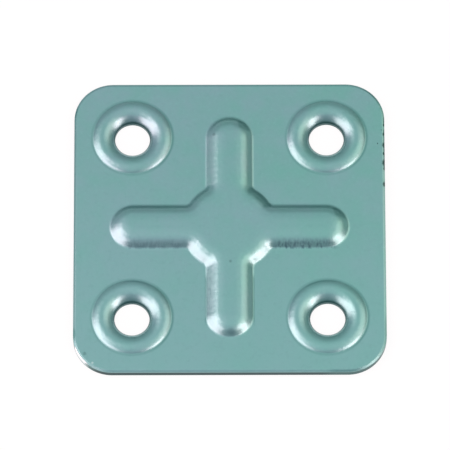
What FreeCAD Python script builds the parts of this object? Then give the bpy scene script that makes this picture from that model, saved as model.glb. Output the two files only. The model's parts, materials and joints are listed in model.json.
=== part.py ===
"""Flat joining plate: one square of sheet steel, pressed with a raised cross and four screw rings.

The frame has +Z out of the front face. The origin is at the middle of the back face, which lies on
whatever the plate joins, and the arms of the cross run along X and Y. Lengths are in millimetres.
"""
import FreeCAD, Part
import math
import os

import Sketcher

# Driving dimensions: what each one measures is said beside it.
SIZES = {
    "plate_side": 40.0,  # outside width and height of the square
    "corner_radius": 5.0,  # outside corners, in plan
    "sheet_thickness": 1.2,
    "edge_break": 0.25,  # what shearing rounds off along the front edge, as a flat
    "hole_spacing": 25.0,  # between neighbouring holes, along X and along Y
    "hole_diameter": 4.5,
    "hole_land": 0.36,  # upright wall of a hole, below its funnel
    "ring_diameter": 10.2,  # at the crease round the foot of a ring
    "crest_diameter": 7.9,  # round the highest line of a ring
    "ring_rise": 0.34,  # crest of a ring above the front face
    "funnel_radius": 1.25,  # rounding from the crest into the funnel, in section
    "arm_width": 6.0,  # between the creases at the foot of an arm
    "arm_span": 31.0,  # from the foot of one tip to the foot of the opposite tip
    "boss_diameter": 12.2,  # at the crease round the foot of the boss
    "junction_radius": 0.8,  # plan rounding where an arm runs into the boss
    "bead_rise": 1.0,  # flat top of the cross above the front face
    "bead_slope": 49.0,  # sides of the cross, in degrees from the front face
    "shoulder_radius": 1.1,  # rounding of the cross's upper edge
}

# Sizes that follow from the driving dimensions, as expressions on the sheet's cells.
FRONT = "Sizes.sheet_thickness"
CROSS_TOP = "Sizes.sheet_thickness + Sizes.bead_rise"
DIE_DEPTH = "2 * (Sizes.sheet_thickness + Sizes.bead_rise)"
TIP_CENTRE = "(Sizes.arm_span - Sizes.arm_width) / 2"
HOLE_OFFSET = "Sizes.hole_spacing / 2"
HOLE_RADIUS = "Sizes.hole_diameter / 2"
RING_RADIUS = "Sizes.ring_diameter / 2"
CREST_RADIUS = "Sizes.crest_diameter / 2"
RING_TOP = "Sizes.sheet_thickness + Sizes.ring_rise"
FUNNEL_ROOM = "(Sizes.crest_diameter - Sizes.hole_diameter) / 2"
FUNNEL_ROUND = f"min(Sizes.funnel_radius; 0.75 * {FUNNEL_ROOM})"
ARM_HALF = "Sizes.arm_width / 2"
BOSS_RADIUS = "Sizes.boss_diameter / 2"

NEAR = 1e-4  # how close two measurements lie when they are the same


def make_sheet(doc):
    """Put the driving dimensions in a spreadsheet, one named cell each."""
    sheet = doc.addObject("Spreadsheet::Sheet", "Sizes")
    for row, (alias, value) in enumerate(SIZES.items(), start=1):
        sheet.set(f"A{row}", alias)
        sheet.set(f"B{row}", str(value))
        sheet.setAlias(f"B{row}", alias)
    doc.recompute()
    return sheet


def size(body, expression):
    """The present value of an expression on the sheet's cells."""
    return float(body.evalExpression(expression))


def origin_feature(body, role):
    """One of the body's own origin planes or axes."""
    return next(item for item in body.Origin.OriginFeatures if item.Role == role)


def new_sketch(body, name, plane, level=None):
    """A sketch on an origin plane of the body, raised along the plane's normal by an expression."""
    sketch = body.newObject("Sketcher::SketchObject", name)
    sketch.AttachmentSupport = [(origin_feature(body, plane), "")]
    sketch.MapMode = "FlatFace"
    if level:
        sketch.setExpression("AttachmentOffset.Base.z", level)
    return sketch


def bind(sketch, name, expression, kind, *where):
    """Add a dimension to a sketch and tie it to an expression."""
    index = sketch.addConstraint(Sketcher.Constraint(kind, *where, size(sketch, expression)))
    sketch.renameConstraint(index, name)
    sketch.setExpression(f"Constraints.{name}", expression)


def add_line(sketch, start, end):
    """A straight line between two points of a sketch."""
    line = Part.LineSegment(FreeCAD.Vector(*start, 0), FreeCAD.Vector(*end, 0))
    return sketch.addGeometry(line, False)


def draw_square(sketch, side):
    """A square about the sketch's origin."""
    half = size(sketch, side) / 2
    corners = [(-half, -half), (half, -half), (half, half), (-half, half)]
    sides = [add_line(sketch, a, b) for a, b in zip(corners, corners[1:] + corners[:1])]
    for one, other in zip(sides, sides[1:] + sides[:1]):
        sketch.addConstraint(Sketcher.Constraint("Coincident", one, 2, other, 1))
    low, right, high, left = sides
    for line in (low, high):
        sketch.addConstraint(Sketcher.Constraint("Horizontal", line))
    for line in (left, right):
        sketch.addConstraint(Sketcher.Constraint("Vertical", line))
    sketch.addConstraint(Sketcher.Constraint("Symmetric", low, 1, high, 1, -1, 1))
    bind(sketch, "width", side, "DistanceX", low, 1, low, 2)
    bind(sketch, "height", side, "DistanceY", right, 1, right, 2)


def draw_circle(sketch, radius, x=None, y=None):
    """A circle about the sketch's origin, or about a point given by two expressions."""
    place = FreeCAD.Vector(size(sketch, x) if x else 0, size(sketch, y) if y else 0, 0)
    upright = FreeCAD.Vector(0, 0, 1)
    circle = sketch.addGeometry(Part.Circle(place, upright, size(sketch, radius)), False)
    bind(sketch, "radius", radius, "Radius", circle)
    if x and y:
        bind(sketch, "across", x, "DistanceX", -1, 1, circle, 3)
        bind(sketch, "along", y, "DistanceY", -1, 1, circle, 3)
    else:
        sketch.addConstraint(Sketcher.Constraint("Coincident", circle, 3, -1, 1))


def draw_slot(sketch, upright):
    """The outline of two opposite arms: straight sides and a half circle round each tip."""
    reach = size(sketch, TIP_CENTRE)
    half = size(sketch, ARM_HALF)
    turn = math.pi / 2 if upright else 0.0

    def at(x, y):
        return (x * math.cos(turn) - y * math.sin(turn), x * math.sin(turn) + y * math.cos(turn))

    def tip(x, start):
        circle = Part.Circle(FreeCAD.Vector(*at(x, 0), 0), FreeCAD.Vector(0, 0, 1), half)
        arc = Part.ArcOfCircle(circle, start + turn, start + turn + math.pi)
        return sketch.addGeometry(arc, False)

    low = add_line(sketch, at(-reach, -half), at(reach, -half))
    far = tip(reach, -math.pi / 2)
    high = add_line(sketch, at(reach, half), at(-reach, half))
    near = tip(-reach, math.pi / 2)
    loop = [low, far, high, near]
    for one, other in zip(loop, loop[1:] + loop[:1]):
        sketch.addConstraint(Sketcher.Constraint("Tangent", one, 2, other, 1))
    sketch.addConstraint(Sketcher.Constraint("Symmetric", far, 3, near, 3, -1, 1))
    sketch.addConstraint(Sketcher.Constraint("PointOnObject", far, 3, -2 if upright else -1))
    sketch.addConstraint(Sketcher.Constraint("Equal", far, near))
    bind(sketch, "half_width", ARM_HALF, "Radius", far)
    bind(sketch, "reach", TIP_CENTRE, "DistanceY" if upright else "DistanceX", -1, 1, far, 3)


def draw_ring_section(sketch):
    """Half of the section through a screw ring, out from the axis of its hole, the sketch's own upright.

    One arc climbs from the foot and lies level at the crest. Another one leads from there into the
    straight funnel, which ends in a short upright wall at the hole.
    """
    hole, foot = size(sketch, HOLE_RADIUS), size(sketch, RING_RADIUS)
    front, crest = size(sketch, FRONT), size(sketch, CREST_RADIUS)
    top, rise = size(sketch, RING_TOP), size(sketch, "Sizes.ring_rise")
    land, inner_radius = size(sketch, "Sizes.hole_land"), size(sketch, FUNNEL_ROUND)
    lean = 2 * math.atan(rise / (foot - crest))
    outer_radius = (foot - crest) / math.sin(lean)
    across, up = crest - hole, top - inner_radius - land
    funnel = math.atan2(up, across) + math.asin(inner_radius / math.hypot(across, up))
    inner_x = crest - inner_radius * math.sin(funnel)
    inner_y = top - inner_radius * (1 - math.cos(funnel))

    def arc_below_crest(radius, start, end):
        centre = FreeCAD.Vector(crest, top - radius, 0)
        circle = Part.Circle(centre, FreeCAD.Vector(0, 0, 1), radius)
        return sketch.addGeometry(Part.ArcOfCircle(circle, start, end), False)

    base = add_line(sketch, (hole, 0), (foot, 0))
    outside = add_line(sketch, (foot, 0), (foot, front))
    climb = arc_below_crest(outer_radius, math.pi / 2 - lean, math.pi / 2)
    bend = arc_below_crest(inner_radius, math.pi / 2, math.pi / 2 + funnel)
    sink = add_line(sketch, (hole, land), (inner_x, inner_y))
    wall = add_line(sketch, (hole, land), (hole, 0))

    for one, end, other, start in (
        (base, 2, outside, 1),
        (outside, 2, climb, 1),
        (sink, 1, wall, 1),
        (wall, 2, base, 1),
    ):
        sketch.addConstraint(Sketcher.Constraint("Coincident", one, end, other, start))
    sketch.addConstraint(Sketcher.Constraint("Tangent", climb, 2, bend, 1))
    sketch.addConstraint(Sketcher.Constraint("Tangent", bend, 2, sink, 2))
    sketch.addConstraint(Sketcher.Constraint("PointOnObject", base, 1, -1))
    sketch.addConstraint(Sketcher.Constraint("Horizontal", base))
    sketch.addConstraint(Sketcher.Constraint("Vertical", outside))
    sketch.addConstraint(Sketcher.Constraint("Vertical", wall))
    sketch.addConstraint(Sketcher.Constraint("Vertical", climb, 3, climb, 2))
    bind(sketch, "hole_radius", HOLE_RADIUS, "DistanceX", -1, 1, wall, 2)
    bind(sketch, "ring_radius", RING_RADIUS, "DistanceX", -1, 1, outside, 2)
    bind(sketch, "front_level", FRONT, "DistanceY", -1, 1, outside, 2)
    bind(sketch, "crest_radius", CREST_RADIUS, "DistanceX", -1, 1, climb, 2)
    bind(sketch, "crest_level", RING_TOP, "DistanceY", -1, 1, climb, 2)
    bind(sketch, "land", "Sizes.hole_land", "DistanceY", wall, 2, wall, 1)
    bind(sketch, "funnel_rounding", FUNNEL_ROUND, "Radius", bend)


def add_pad(body, name, sketch, length):
    """A pad along the sketch's normal."""
    pad = body.newObject("PartDesign::Pad", name)
    pad.Profile = sketch
    pad.setExpression("Length", length)
    body.Document.recompute()
    return pad


def add_fillet(body, name, elements, radius):
    """Round the named edges or faces of the body as it stands."""
    fillet = body.newObject("PartDesign::Fillet", name)
    fillet.Base = (fillet.BaseFeature, elements)
    fillet.setExpression("Radius", radius)
    body.Document.recompute()
    return fillet


def edge_names(shape, wanted):
    """The names of those edges of a shape that are among the wanted ones."""
    edges = enumerate(shape.Edges, start=1)
    return [f"Edge{index}" for index, edge in edges if any(edge.isSame(other) for other in wanted)]


def upright_edges(shape):
    """The edges of a shape that run straight along Z."""
    return [edge for edge in shape.Edges if edge.BoundBox.XLength + edge.BoundBox.YLength < NEAR]


def level_face(shape, level):
    """The number and shape of the largest flat face at a level."""
    flat = [
        (index, face)
        for index, face in enumerate(shape.Faces, start=1)
        if face.BoundBox.ZLength < NEAR and abs(face.CenterOfMass.z - level) < NEAR
    ]
    return max(flat, key=lambda item: item[1].Area)


def cut_blank(body):
    """The square blank with its round corners, as deep as the die."""
    outline = new_sketch(body, "BlankOutline", "XY_Plane", f"-({DIE_DEPTH})")
    draw_square(outline, "Sizes.plate_side")
    add_pad(body, "Blank", outline, f"{FRONT} + {DIE_DEPTH}")
    corners = edge_names(body.Shape, upright_edges(body.Shape))
    add_fillet(body, "Corners", corners, "Sizes.corner_radius")


def press_cross(body):
    """The raised cross on the front: two pairs of arms and a round boss, with sloping sides."""
    for name, upright in (("ArmsAcross", False), ("ArmsUpright", True)):
        outline = new_sketch(body, f"{name}Outline", "XY_Plane", FRONT)
        draw_slot(outline, upright)
        add_pad(body, name, outline, "Sizes.bead_rise")
    outline = new_sketch(body, "BossOutline", "XY_Plane", FRONT)
    draw_circle(outline, BOSS_RADIUS)
    add_pad(body, "Boss", outline, "Sizes.bead_rise")

    boss = size(body, BOSS_RADIUS)
    junctions = [
        edge
        for edge in upright_edges(body.Shape)
        if abs(math.hypot(edge.CenterOfMass.x, edge.CenterOfMass.y) - boss) < NEAR
    ]
    add_fillet(body, "Junctions", edge_names(body.Shape, junctions), "Sizes.junction_radius")

    front, top = size(body, FRONT), size(body, CROSS_TOP)
    sides = [
        f"Face{index}"
        for index, face in enumerate(body.Shape.Faces, start=1)
        if abs(face.BoundBox.ZMin - front) < NEAR and abs(face.BoundBox.ZMax - top) < NEAR
    ]
    number, _ = level_face(body.Shape, front)
    slopes = body.newObject("PartDesign::Draft", "Slopes")
    slopes.Base = (slopes.BaseFeature, sides)
    slopes.NeutralPlane = (slopes.BaseFeature, [f"Face{number}"])
    slopes.setExpression("Angle", "90 - Sizes.bead_slope")
    body.Document.recompute()


def leave_sheet(body):
    """Keep a skin of the sheet's thickness behind the front, so that the cross is hollow behind."""
    half = size(body, "Sizes.plate_side / 2")
    bottom = -size(body, DIE_DEPTH)
    cut_away = []
    for index, face in enumerate(body.Shape.Faces, start=1):
        box = face.BoundBox
        outermost = max(box.XMax, box.YMax, -box.XMin, -box.YMin)
        if abs(box.ZMin - bottom) < NEAR and abs(outermost - half) < NEAR:
            cut_away.append(f"Face{index}")
    skin = body.newObject("PartDesign::Thickness", "SheetSkin")
    skin.Base = (skin.BaseFeature, cut_away)
    skin.setExpression("Value", "Sizes.sheet_thickness")
    skin.Mode = "Skin"
    skin.Join = "Intersection"
    skin.Reversed = True
    body.Document.recompute()


def press_rings(body):
    """Four screw rings: each one takes the place of a disc of the sheet."""
    before = body.Shape.Volume
    disc = new_sketch(body, "RingSeatOutline", "XY_Plane", FRONT)
    draw_circle(disc, RING_RADIUS, HOLE_OFFSET, HOLE_OFFSET)
    seat = body.newObject("PartDesign::Pocket", "RingSeat")
    seat.Profile = disc
    seat.Type = "ThroughAll"
    body.Document.recompute()
    if body.Shape.Volume > before - NEAR:
        raise RuntimeError("RingSeat cut nothing")

    section = new_sketch(body, "RingSection", "XZ_Plane", f"-{HOLE_OFFSET}")
    section.setExpression("AttachmentOffset.Base.x", HOLE_OFFSET)
    draw_ring_section(section)
    ring = body.newObject("PartDesign::Revolution", "Ring")
    ring.Profile = section
    ring.ReferenceAxis = (section, ["V_Axis"])
    ring.Angle = 360
    body.Document.recompute()

    four = body.newObject("PartDesign::PolarPattern", "FourRings")
    four.Originals = [seat, ring]
    four.Axis = (origin_feature(body, "Z_Axis"), [""])
    four.Angle = 360
    body.Tip = four
    four.Occurrences = 4
    body.Document.recompute()


def soften_edges(body):
    """The round shoulder of the cross, and the break that shearing leaves along the front's outside."""
    number, _ = level_face(body.Shape, size(body, CROSS_TOP))
    add_fillet(body, "Shoulder", [f"Face{number}"], "Sizes.shoulder_radius")
    _, front = level_face(body.Shape, size(body, FRONT))
    outside = body.newObject("PartDesign::Chamfer", "EdgeBreak")
    outside.Base = (outside.BaseFeature, edge_names(body.Shape, front.OuterWire.Edges))
    outside.setExpression("Size", "Sizes.edge_break")
    body.Document.recompute()


def make_plate(doc):
    """The whole plate, which is one piece."""
    body = doc.addObject("PartDesign::Body", "JoiningPlate")
    body.Label = "joining_plate"
    cut_blank(body)
    press_cross(body)
    leave_sheet(body)
    press_rings(body)
    soften_edges(body)
    return body


def check(doc, bodies):
    """Stop if any object failed, or a finished piece isn't one valid solid."""
    for item in doc.Objects:
        if {"Invalid", "Error"} & set(item.State):
            raise RuntimeError(f"{item.Name} failed: {item.State}")
    for body in bodies:
        if body.Shape.isNull() or not body.Shape.isValid() or len(body.Shape.Solids) != 1:
            raise RuntimeError(f"{body.Label} isn't one valid solid")


document = FreeCAD.newDocument("FlatJoiningPlate")
make_sheet(document)
pieces = [make_plate(document)]
document.recompute()
check(document, pieces)
os.makedirs("parts", exist_ok=True)
for piece in pieces:
    piece.Shape.exportStep(f"parts/{piece.Label}.step")
    print(piece.Label, f"volume {piece.Shape.Volume:.3f} mm3, {len(piece.Shape.Faces)} faces")
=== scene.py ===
import json
import math

import bmesh
import bpy
from mathutils import Matrix, Vector

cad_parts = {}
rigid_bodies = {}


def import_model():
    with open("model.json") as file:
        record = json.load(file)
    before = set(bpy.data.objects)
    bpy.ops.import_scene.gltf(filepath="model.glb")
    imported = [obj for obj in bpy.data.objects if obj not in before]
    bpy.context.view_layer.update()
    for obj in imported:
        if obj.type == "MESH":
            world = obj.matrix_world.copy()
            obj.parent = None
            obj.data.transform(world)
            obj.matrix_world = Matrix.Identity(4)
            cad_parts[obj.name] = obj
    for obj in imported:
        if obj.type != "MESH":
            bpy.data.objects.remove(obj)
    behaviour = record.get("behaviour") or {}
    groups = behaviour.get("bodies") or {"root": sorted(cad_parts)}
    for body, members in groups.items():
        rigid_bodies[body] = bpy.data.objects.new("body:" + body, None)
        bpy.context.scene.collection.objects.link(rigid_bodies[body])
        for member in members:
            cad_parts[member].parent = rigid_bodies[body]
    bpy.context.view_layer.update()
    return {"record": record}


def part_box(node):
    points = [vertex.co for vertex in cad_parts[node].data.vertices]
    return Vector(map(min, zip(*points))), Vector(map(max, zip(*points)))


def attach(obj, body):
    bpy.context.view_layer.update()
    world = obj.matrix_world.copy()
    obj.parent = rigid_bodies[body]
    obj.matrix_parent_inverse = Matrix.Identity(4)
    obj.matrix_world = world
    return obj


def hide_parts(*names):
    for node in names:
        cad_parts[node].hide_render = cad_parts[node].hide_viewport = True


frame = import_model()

# The blank: a square of sheet steel, sheared from a strip, with round corners. Shearing drags the
# front edge down into a small roll, and leaves the sides upright and the back edge sharp.
# All of the plate is drawn in millimetres, and brought to metres once it is whole.
METRE = 1000.0
low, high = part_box("joining_plate")
plate_side = (high.x - low.x) * METRE
cross_top = high.z * METRE
sheet = 1.2
corner_radius = 5.0
corner_segments = 20
edge_slope = 28
edge_roll = 0.3
edge_reach = 0.2
edge_side = edge_reach * math.tan(math.radians(edge_slope))
edge_drop = edge_side + edge_roll * (1 - math.cos(math.radians(edge_slope)))
level_rim = 0.15  # strip of flat sheet beside each bend, which keeps the shading of the flat level


def bend(radius, start, end, segments):
    """The steps of a bend: how far each one goes inwards and up, as the slope turns from start to end."""
    slopes = [math.radians(start + (end - start) * i / segments) for i in range(segments + 1)]
    return [
        (radius * abs(math.sin(b) - math.sin(a)), radius * abs(math.cos(b) - math.cos(a)))
        for a, b in zip(slopes, slopes[1:])
    ]


def press(steps, way=1):
    """Inset the selected face step by step, raising it as it narrows, or sinking it where way is -1."""
    for inwards, rise in steps:
        bpy.ops.mesh.inset(thickness=inwards, depth=way * rise, use_even_offset=True)


bpy.ops.object.select_all(action="DESELECT")
bpy.ops.mesh.primitive_plane_add(size=plate_side)
plate = bpy.context.object
plate.name = "pressed_plate"
bpy.ops.object.mode_set(mode="EDIT")
bpy.ops.mesh.bevel(offset=corner_radius, segments=corner_segments, profile=0.5, affect="VERTICES")
bpy.ops.mesh.extrude_region_move(TRANSFORM_OT_translate={"value": (0, 0, sheet - edge_drop)})
press([(edge_reach, edge_side)])
press(bend(edge_roll, edge_slope, 0, segments=6))
press([(level_rim, 0)])
bpy.ops.mesh.delete(type="ONLY_FACE")

# The screw rings: the sheet is coined up round each pierced hole into a soft ring, whose inside turns
# down like a trumpet's mouth into the hole, so that a countersunk head sits below the ring's crest.
screws = next(mount for mount in frame["record"]["mounts"] if mount["name"] == "screw_pattern")
hole_radius = screws["dims"]["hole_r_mm"]
hole_spacing = screws["dims"]["spacing_x_mm"]
crest_radius = 3.95
ring_foot_bend = 0.45
ring_bend = 1.9
ring_slope = 32
funnel_bend = 1.9
funnel_slope = 56
rim_bend = 0.12
ring_segments = 160
ring_foot = crest_radius + (ring_foot_bend + ring_bend) * math.sin(math.radians(ring_slope))
ring_rise = (ring_foot_bend + ring_bend) * (1 - math.cos(math.radians(ring_slope)))
funnel_sin = math.sin(math.radians(funnel_slope))
funnel_cos = math.cos(math.radians(funnel_slope))
funnel_reach = crest_radius - funnel_bend * funnel_sin - rim_bend * (1 - funnel_sin) - hole_radius
funnel_side = funnel_reach * funnel_sin / funnel_cos
rim_level = sheet + ring_rise - funnel_bend * (1 - funnel_cos) - funnel_side - rim_bend * funnel_cos

bpy.ops.mesh.primitive_circle_add(
    vertices=ring_segments,
    radius=ring_foot + level_rim,
    fill_type="NGON",
    location=(hole_spacing / 2, hole_spacing / 2, sheet),
)
press([(level_rim, 0)])
press(bend(ring_foot_bend, 0, ring_slope, segments=4))
press(bend(ring_bend, ring_slope, 0, segments=14))
press(bend(funnel_bend, 0, funnel_slope, segments=16), way=-1)
press([(funnel_reach, funnel_side)], way=-1)
press(bend(rim_bend, funnel_slope, 90, segments=4), way=-1)
bpy.ops.mesh.extrude_region_move(TRANSFORM_OT_translate={"value": (0, 0, -rim_level)})
bpy.ops.mesh.select_linked()
ring_moves = [(-hole_spacing, 0, 0), (0, -hole_spacing, 0), (hole_spacing, 0, 0)]
for move in ring_moves:
    bpy.ops.mesh.duplicate_move(TRANSFORM_OT_translate={"value": move})

# The cross: a bead pressed up from behind, with four round-ended arms that run out of a round boss.
# Its crown is faintly domed. The sheet keeps its thickness, so the hollow behind is the same bead, one
# sheet further in.
arm_half_width = 3.2
tip_centre = 12.3
boss_radius = 6.3
junction_radius = 0.6
bead_slope = 42
bead_foot_bend = 0.6
bead_bend = 2.2
crown_slope = 8
crown_bend = 7.0
bead_cos = math.cos(math.radians(bead_slope))
crown_cos = math.cos(math.radians(crown_slope))
bead_bends = bead_foot_bend * (1 - bead_cos) + bead_bend * (crown_cos - bead_cos)
crown_rise = crown_bend * (1 - crown_cos)
bead_side = cross_top - sheet - bead_bends - crown_rise
bead_reach = bead_side / math.tan(math.radians(bead_slope))
touching = 0.001  # points nearer to each other than this are one


def draw_line(start, end):
    """Draw on from the last point, straight along the way from start to end."""
    bpy.ops.mesh.extrude_region_move(TRANSFORM_OT_translate={"value": (end - start).to_3d()})


def draw_arc(centre, degrees, steps):
    """Draw on from the last point, round a centre, anticlockwise seen from the front."""
    bpy.ops.mesh.spin(steps=steps, angle=math.radians(degrees), center=centre.to_3d(), axis=(0, 0, -1))


def draw_cross(level):
    """A face in the outline of the cross's foot, with a strip of flat sheet round it."""
    arm = arm_half_width + level_rim
    boss = boss_radius + level_rim
    junction = junction_radius - level_rim
    junction_x = math.sqrt((boss + junction) ** 2 - (arm + junction) ** 2)
    bearing = math.degrees(math.atan2(arm + junction, junction_x))
    bpy.ops.mesh.primitive_plane_add(size=1, location=(0, 0, level))
    bpy.ops.mesh.merge(type="CENTER")
    bpy.ops.transform.translate(value=(tip_centre + arm, 0, 0))
    for quarter in range(4):
        turn = Matrix.Rotation(quarter * math.pi / 2, 2)
        place = {
            "tip": Vector((tip_centre, 0)),
            "side_out": Vector((tip_centre, arm)),
            "side_in": Vector((junction_x, arm)),
            "junction": Vector((junction_x, arm + junction)),
            "next_junction": Vector((arm + junction, junction_x)),
            "next_in": Vector((arm, junction_x)),
            "next_out": Vector((arm, tip_centre)),
            "next_tip": Vector((0, tip_centre)),
        }
        place = {name: turn @ point for name, point in place.items()}
        draw_arc(place["tip"], 90, steps=24)
        draw_line(place["side_out"], place["side_in"])
        draw_arc(place["junction"], bearing - 90, steps=8)
        draw_arc(Vector((0, 0)), 90 - 2 * bearing, steps=10)
        draw_arc(place["next_junction"], bearing - 90, steps=8)
        draw_line(place["next_in"], place["next_out"])
        draw_arc(place["next_tip"], 90, steps=24)
    bpy.ops.mesh.select_linked()
    bpy.ops.mesh.remove_doubles(threshold=touching)
    bpy.ops.mesh.edge_face_add()
    outline = next(face for face in bmesh.from_edit_mesh(plate.data).faces if face.select)
    if outline.normal.z < 0:
        bpy.ops.mesh.flip_normals()


draw_cross(sheet)
press([(level_rim, 0)])
press(bend(bead_foot_bend, 0, bead_slope, segments=6))
press([(bead_reach, bead_side)])
press(bend(bead_bend, bead_slope, crown_slope, segments=12))
press(bend(crown_bend, crown_slope, 0, segments=6))
draw_cross(0)
press([(level_rim, 0)])
press(bend(bead_foot_bend + sheet, 0, bead_slope, segments=8))
press([(bead_reach, bead_side)])
press(bend(bead_bend - sheet, bead_slope, crown_slope, segments=8))
press(bend(crown_bend - sheet, crown_slope, 0, segments=4))

# The flats: the front and the back of the sheet between the pressed features. Both are filled up to the
# edges that are still open there, which closes the plate. Then the whole plate is brought to metres.
crease_angle = 35  # an edge that turns more sharply than this stays crisp


def fill_level(level):
    """Close the flat at a level: take away the caps left there, and fill between the open edges."""
    bpy.ops.mesh.select_mode(type="FACE")
    bpy.ops.mesh.select_all(action="DESELECT")
    shape = bmesh.from_edit_mesh(plate.data)
    for face in shape.faces:
        is_cap = len(face.verts) > 4
        face.select_set(is_cap and all(abs(vert.co.z - level) < touching for vert in face.verts))
    if any(face.select for face in shape.faces):
        bpy.ops.mesh.delete(type="ONLY_FACE")
    bpy.ops.mesh.select_mode(type="EDGE")
    bpy.ops.mesh.select_all(action="DESELECT")
    shape = bmesh.from_edit_mesh(plate.data)
    for edge in shape.edges:
        edge.select_set(edge.is_boundary and all(abs(vert.co.z - level) < touching for vert in edge.verts))
    bpy.ops.mesh.fill(use_beauty=True)


fill_level(sheet)
fill_level(0)
bpy.ops.mesh.select_all(action="SELECT")
bpy.ops.mesh.normals_make_consistent(inside=False)
bpy.ops.object.mode_set(mode="OBJECT")
plate.scale = (1 / METRE, 1 / METRE, 1 / METRE)
bpy.ops.object.transform_apply(location=True, rotation=True, scale=True)
bpy.ops.object.shade_smooth_by_angle(angle=math.radians(crease_angle))
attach(plate, "root")
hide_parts("joining_plate")

# The finish: bright zinc plating under a clear blue-green passivation, softly blotched and finely
# grained. It is scuffed where the press rubbed along the front of the cross, and the sheared walls are
# dark, partly as bare steel and partly as painted shade. Painted shade and painted highlights are laid
# into its colour in places.


class Wire:
    """A value in a material's nodes. Sums on it add Math nodes, and node() adds any other node."""

    def __init__(self, tree, socket=None):
        self.tree = tree
        self.socket = socket

    def node(self, kind, settings, inputs, output=0):
        """Add a node, with its settings made first, and return one of its outputs."""
        made = self.tree.nodes.new(kind)
        for name, value in settings.items():
            setattr(made, name, value)
        for name, value in inputs.items():
            if isinstance(value, Wire):
                self.tree.links.new(value.socket, made.inputs[name])
            else:
                made.inputs[name].default_value = value
        return Wire(self.tree, made.outputs[output] if made.outputs else None)

    def math(self, operation, *others):
        """Add a Math node that takes this value first."""
        return self.node("ShaderNodeMath", {"operation": operation}, dict(enumerate((self, *others))))

    def __add__(self, other):
        return self.math("ADD", other)

    def __sub__(self, other):
        return self.math("SUBTRACT", other)

    def __mul__(self, other):
        return self.math("MULTIPLY", other)

    def __rsub__(self, other):
        return (self * -1) + other

    def fade(self, start, end):
        """Rises softly from 0 to 1 as the value goes from start to end."""
        inputs = {"Value": self, "From Min": start, "From Max": end, "To Min": 0.0, "To Max": 1.0}
        return self.node("ShaderNodeMapRange", {"interpolation_type": "SMOOTHSTEP"}, inputs)

    def band(self, start, full, last, end):
        """Rises softly from 0 at the start, is 1 from full to last, and falls to 0 at the end."""
        return self.fade(start, full) * self.fade(end, last)

    def blend(self, share, first, second):
        """Colour that goes from the first to the second as the share goes from 0 to 1."""
        return self.node("ShaderNodeMix", {"data_type": "RGBA"}, {0: share, 6: first, 7: second}, 2)

    __radd__ = __add__
    __rmul__ = __mul__


def length(a, b):
    """How far a point lies from zero, by its two distances."""
    return (a * a + b * b).math("SQRT")


def new_finish(name):
    """A material with empty nodes, as the start of its wires."""
    material = bpy.data.materials.new(name)
    material.use_nodes = True
    material.node_tree.nodes.clear()
    return material, Wire(material.node_tree)


zinc, start = new_finish("zinc_plating")
spot = start.node("ShaderNodeTexCoord", {}, {}, "Object")
spot = start.node("ShaderNodeVectorMath", {"operation": "SCALE"}, {0: spot, "Scale": METRE})
x = start.node("ShaderNodeSeparateXYZ", {}, {0: spot}, "X")
y = start.node("ShaderNodeSeparateXYZ", {}, {0: spot}, "Y")
z = start.node("ShaderNodeSeparateXYZ", {}, {0: spot}, "Z")
aside = x.math("ABSOLUTE")
along = y.math("ABSOLUTE")


def noise(scale, detail=2.0, stretch=(1, 1, 1), seed=0.0):
    """Soft cloudy pattern from 0 to 1, with about this many waves in a millimetre."""
    moved = {"Vector": spot, "Location": (seed, seed, seed), "Scale": stretch}
    place = start.node("ShaderNodeMapping", {}, moved)
    return start.node("ShaderNodeTexNoise", {}, {"Vector": place, "Scale": scale, "Detail": detail})


lilac = (0.232, 0.382, 0.408, 1)
teal = (0.183, 0.4, 0.368, 1)
pale = (0.226, 0.434, 0.43, 1)
deep = (0.188, 0.355, 0.355, 1)
scuff_and_shade = (0.085, 0.175, 0.2, 1)
painted_shade = (0.07, 0.2, 0.19, 1)
bare_steel_and_shade = (0.004, 0.045, 0.048, 1)
painted_highlight = (0.85, 0.9, 0.92, 1)
grime = (0.01, 0.035, 0.035, 1)

drift = 0.18 + 0.45 * x.fade(-24, 22) + 1.4 * (noise(0.11) - 0.5) + 1.6 * (noise(0.35, seed=3) - 0.5)
colour = start.blend(drift, lilac, teal)
colour = start.blend(0.6 * y.fade(18, -22), colour, pale)
colour = start.blend(0.5 * noise(2.2, seed=7).fade(0.5, 0.8), colour, pale)
colour = start.blend(0.35 * noise(1.8, seed=19).fade(0.5, 0.2), colour, deep)

# Scuffs lie on the front slopes of the two arms that run across, as short strokes down the slope, and
# more faintly on the left slope of the front arm. Painted shade darkens the middle of that arm's tip.
front = z.fade(sheet - 0.18, sheet - edge_drop)
foot = -arm_half_width  # the front foot of the arms that run across, and the left foot of the front arm
strokes = noise(1.9, detail=3.0, stretch=(1.8, 0.6, 1), seed=31)
front_slope = y.band(foot + 1.6, foot + 0.3, foot + 0.22, foot + 0.02)
along_arms = aside.band(boss_radius - 1, boss_radius + 0.3, tip_centre + 0.3, tip_centre + 1.9)
scuff = front_slope * along_arms * strokes.fade(0.4, 0.62) * (0.35 + 0.48 * x.fade(-1, 1))
colour = start.blend(front * scuff, colour, scuff_and_shade)
rubbing = noise(2.6, detail=3.0, stretch=(1.6, 0.7, 1), seed=61)
left_slope = x.band(foot + 1.2, foot + 0.7, foot + 0.3, foot + 0.1) * y.band(-6.5, -8.0, -12.0, -13.5)
faint_scuff = left_slope * rubbing.fade(0.42, 0.7) * 0.3
colour = start.blend(front * faint_scuff, colour, scuff_and_shade)
# Painted shade: a dark patch in the middle of the front arm's tip, between its two highlights.
tip_shade = length(x - 0.2, 1.5 * (y + 14.7)).fade(0.75, 0.25) * 0.4
colour = start.blend(front * tip_shade, colour, scuff_and_shade)
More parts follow.
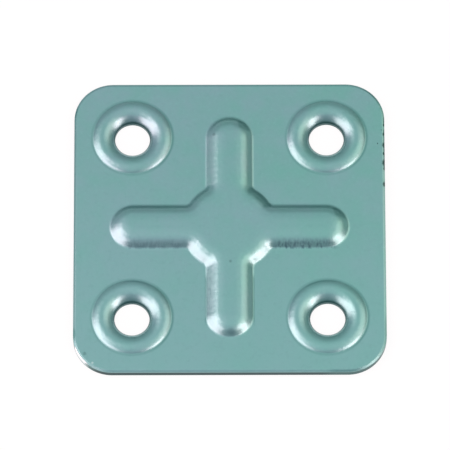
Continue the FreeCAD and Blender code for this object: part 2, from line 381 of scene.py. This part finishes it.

# Painted shade in the pressed features: along the crease at the foot of each ring, most of all on its
# right, on the slopes of the cross that face the back right, and along the feet of the front arm.
from_hole = length(aside - hole_spacing / 2, along - hole_spacing / 2)
right_side = (x - hole_spacing / 2 * x.math("SIGN")).fade(2.0, 4.5)
ring_crease = from_hole.band(ring_foot - 0.35, ring_foot - 0.05, ring_foot, ring_foot + 0.3)
colour = start.blend(front * ring_crease * (0.3 + 0.3 * right_side), colour, painted_shade)
# Painted shade on the slopes that face the back right, by the way they face.
outward = start.node("ShaderNodeTexCoord", {}, {}, "Normal")
rightward = start.node("ShaderNodeSeparateXYZ", {}, {0: outward}, "X")
backward = start.node("ShaderNodeSeparateXYZ", {}, {0: outward}, "Y")
back_right = rightward.math("MINIMUM", backward).fade(0.18, 0.32)
beyond_ring = from_hole.fade(ring_foot + 0.2, ring_foot + 0.6)
colour = start.blend(front * back_right * beyond_ring * 0.55, colour, painted_shade)
# Painted shade along the feet of the front arm.
from_foot = aside - arm_half_width
arm_foot = from_foot.band(-0.45, -0.25, -0.1, 0.05) * y.band(-6.2, -7.4, -12.6, -13.8)
colour = start.blend(front * arm_foot * 0.6, colour, painted_shade)

# The pierced wall of each hole and the sheared outer edge are darkened below their rims, partly as bare
# steel and partly as painted shade. Painted shade darkens the roll of the left edge and of both front
# corners, and a painted highlight makes the wall of the front left corner bright.
hole_wall = from_hole.fade(hole_radius + 0.27, hole_radius + 0.05) * 0.8
colour = start.blend(hole_wall, colour, bare_steel_and_shade)
flat_half = plate_side / 2 - corner_radius
past_x = (aside - flat_half).math("MAXIMUM", 0.0)
past_y = (along - flat_half).math("MAXIMUM", 0.0)
from_edge = corner_radius - length(past_x, past_y)
along_corner = y - x + 1.2 * (noise(1.2, seed=91) - 0.5)
front_left = (x + y).fade(-33.5, -34.8) * along_corner.fade(-2.8, -1.2)
front_right = (x - y).fade(31.5, 33.5) * 0.6
# Where the wall of the front left corner gets a painted highlight in place of the dark.
highlit_corner = front_left * along_corner.band(-1.2, 0.3, 2.4, 3.4) * z.fade(0.0, 0.4)
sheared = from_edge.fade(0.03, 0.01) * z.fade(sheet - 0.28, sheet - 0.4) * (1 - highlit_corner)
colour = start.blend(sheared, colour, bare_steel_and_shade)
# Painted shade on the roll of the left edge and of both front corners.
left_edge = (x + plate_side / 2).fade(0.6, 0.3) * y.fade(-16.0, -14.5)
painted_edge_shade = from_edge.fade(0.4, 0.15) * (left_edge + front_left + front_right) * 0.7
colour = start.blend(painted_edge_shade, colour, painted_shade)
# Painted highlight: the wall of the front left corner is made bright.
corner_highlight = from_edge.fade(0.08, 0.03) * highlit_corner
colour = start.blend(corner_highlight, colour, painted_highlight)

# Nicks along the right edge, and a few faint specks: where each one lies, and how large it is.
nicks = [
    (19.9, 14.2, 0.14), (19.6, 13.5, 0.08), (19.9, 12.9, 0.22), (19.1, 11.6, 0.09), (19.9, 11.4, 0.3),
    (19.9, 10.2, 0.2), (19.9, 8.9, 0.36), (19.92, 8.1, 0.16), (19.92, 5.9, 0.3),
]
specks = [(-18.5, -17.5, 0.34), (0.1, -5.2, 0.28), (-2.0, 12.6, 0.3)]
ragged = 0.5 * (noise(3.5, seed=71) - 0.5)
for places, slimness, share in ((nicks, 0.6, 0.85), (specks, 1.0, 0.32)):
    for mark_x, mark_y, size in places:
        mark = (length(x - mark_x, slimness * (y - mark_y)) + size * ragged).fade(size, size * 0.3)
        colour = start.blend(front * mark * share, colour, grime)
chipped = from_edge.fade(0.2, 0.05) * x.fade(15, 17) * y.band(7.5, 8.5, 15, 16.5)
colour = start.blend(chipped * noise(1.3, seed=53).fade(0.3, 0.55) * 0.8, colour, grime)
glint = length(x + 17.5, y + 18.75).fade(0.2, 0.08) * 0.35
colour = start.blend(front * glint, colour, painted_highlight)

# The plating is finely grained all over, and uneven where the press has drawn the sheet up.
smoothest = 0.28
relief_strength = 0.3
relief_height = 0.00002
grain = noise(3.0, detail=3.0, seed=43)
crown = z.fade(cross_top - 0.1, cross_top - 0.03)
drawn = noise(1.8, seed=83) * z.fade(sheet + 0.02, sheet + 0.2) * (1 - 0.6 * crown)
relief = start.node(
    "ShaderNodeBump",
    {},
    {"Strength": relief_strength, "Distance": relief_height, "Height": 0.7 * grain + 3.5 * drawn},
)
steel = start.node(
    "ShaderNodeBsdfPrincipled",
    {},
    {"Base Color": colour, "Metallic": 1.0, "Roughness": smoothest + 0.1 * grain, "Normal": relief},
)
start.node("ShaderNodeOutputMaterial", {}, {"Surface": steel})
plate.data.materials.clear()
plate.data.materials.append(zinc)

# The floor: a plain white sheet of studio paper, laid flat under the plate and turned up a little at its
# far rim. It shows as white to the camera and in the metal, and keeps a trace of the plate's shadow.
paper_radius = 1.5
paper_rim = 0.12
paper_gap = 0.00002
paper_sides = 96
paper_shade = (0.85, 0.85, 0.85, 1)
paper_glow = 0.93
bpy.ops.object.select_all(action="DESELECT")
bpy.ops.mesh.primitive_circle_add(
    vertices=paper_sides,
    radius=paper_radius,
    fill_type="NGON",
    location=(0, 0, -paper_gap),
)
floor = bpy.context.object
floor.name = "studio_floor"
bpy.ops.object.transform_apply(location=True, rotation=True, scale=True)
bpy.ops.object.mode_set(mode="EDIT")
bpy.ops.mesh.select_mode(type="EDGE")
bpy.ops.mesh.select_all(action="SELECT")
bpy.ops.mesh.extrude_edges_move(TRANSFORM_OT_translate={"value": (0, 0, paper_rim)})
bpy.ops.object.mode_set(mode="OBJECT")
paper, start = new_finish("studio_paper")
seen = start.node("ShaderNodeLightPath", {}, {}, "Is Camera Ray")
mirrored = start.node("ShaderNodeLightPath", {}, {}, "Is Glossy Ray")
through = start.node("ShaderNodeLightPath", {}, {}, "Is Transmission Ray")
white = start.node("ShaderNodeEmission", {}, {"Color": (1, 1, 1, 1), "Strength": 1.0})
matt = start.node("ShaderNodeBsdfDiffuse", {}, {"Color": paper_shade})
shown = (seen + mirrored + through) * paper_glow
surface = start.node("ShaderNodeMixShader", {}, {0: shown, 1: matt, 2: white})
start.node("ShaderNodeOutputMaterial", {}, {"Surface": surface})
floor.data.materials.append(paper)

# The light: a studio whose ceiling is pale and whose front is dim. Four soft boxes of warm light stand
# round the plate: a large one on the left, a narrow one in front on the right, a dim one at the back on
# the right, and a small one high up behind on the left.
scene = bpy.context.scene
scene.view_settings.view_transform = "Standard"
world = bpy.data.worlds.new("studio")
scene.world = world
world.use_nodes = True
world.node_tree.nodes.clear()
start = Wire(world.node_tree)
direction = start.node("ShaderNodeTexCoord", {}, {}, "Generated")
breadth = start.node("ShaderNodeSeparateXYZ", {}, {0: direction}, "X")
depth = start.node("ShaderNodeSeparateXYZ", {}, {0: direction}, "Y")
height = start.node("ShaderNodeSeparateXYZ", {}, {0: direction}, "Z")
glow = 0.57 + 0.36 * height.fade(0.34, 1.0)
glow = glow * (1 - 0.23 * depth.fade(-0.1, -0.8)) * (1 - 0.16 * breadth)
cool = (0.86, 1, 1, 1)
bluish = (0.91, 0.95, 1.06, 1)
greenish = (0.84, 1, 0.94, 1)
front_or_left = depth.fade(-0.1, -0.7) + breadth.fade(-0.3, -0.9)
tint = start.blend(front_or_left, cool, bluish)
tint = start.blend(breadth.fade(0.2, 0.8), tint, greenish)
ceiling = start.node("ShaderNodeBackground", {}, {"Color": tint, "Strength": glow})
start.node("ShaderNodeOutputWorld", {}, {"Surface": ceiling})

lamp_distance = 0.5


def add_softbox(name, bearing, elevation, width, height, lean, brightness, colour):
    """A lamp that faces the plate, at angles in degrees, and as bright as given against white."""
    turn = math.radians(bearing)
    towards = Vector((math.cos(turn), math.sin(turn), math.tan(math.radians(elevation)))).normalized()
    bpy.ops.object.light_add(type="AREA", location=towards * lamp_distance)
    lamp = bpy.context.object
    lamp.name = name
    facing = towards.to_track_quat("Z", "Y").to_matrix() @ Matrix.Rotation(math.radians(lean), 3, "Z")
    lamp.rotation_euler = facing.to_euler()
    lamp.data.shape = "RECTANGLE"
    lamp.data.size = width
    lamp.data.size_y = height
    lamp.data.energy = brightness * math.pi * width * height
    lamp.data.color = colour


rosy = (1.0, 0.57, 0.59)
warm = (1.0, 0.69, 0.6)
add_softbox("soft_box_left", 197, 22.6, 0.60, 0.61, 0, 3.4, rosy)
add_softbox("soft_box_right", 330.6, 31.5, 0.24, 0.40, 18, 5.4, rosy)
add_softbox("soft_box_back", 15, 48.6, 0.40, 0.40, 0, 1.2, warm)
add_softbox("soft_box_above", 164.7, 59, 0.19, 0.19, 0, 3.7, rosy)

# The camera: far off and a little above the front, looking down on the plate, as in the photograph.
# The picture's centre lies beside the plate's, and the picture is turned by a fraction of a degree.
view_elevation = math.radians(67.08)
view_roll = math.radians(0.13)
view_distance = 0.877
picture_width = 450
pixels_per_metre = 7786
plate_pixel = (229.63, 230.29)
sensor_width = 36
nearest = 0.01
away = Vector((0, -math.cos(view_elevation), math.sin(view_elevation)))
sideways = Vector((1, 0, 0))
rise = Vector((0, math.sin(view_elevation), math.cos(view_elevation)))
across = sideways * math.cos(view_roll) - rise * math.sin(view_roll)
upward = sideways * math.sin(view_roll) + rise * math.cos(view_roll)
shift = across * (picture_width / 2 - plate_pixel[0]) - upward * (picture_width / 2 - plate_pixel[1])
bpy.ops.object.camera_add()
camera = bpy.context.object
turn = Matrix((across, upward, away)).transposed().to_4x4()
camera.matrix_world = Matrix.Translation(away * view_distance + shift / pixels_per_metre) @ turn
camera.data.sensor_width = sensor_width
camera.data.lens = pixels_per_metre * view_distance / picture_width * sensor_width
camera.data.clip_start = nearest
scene.camera = camera
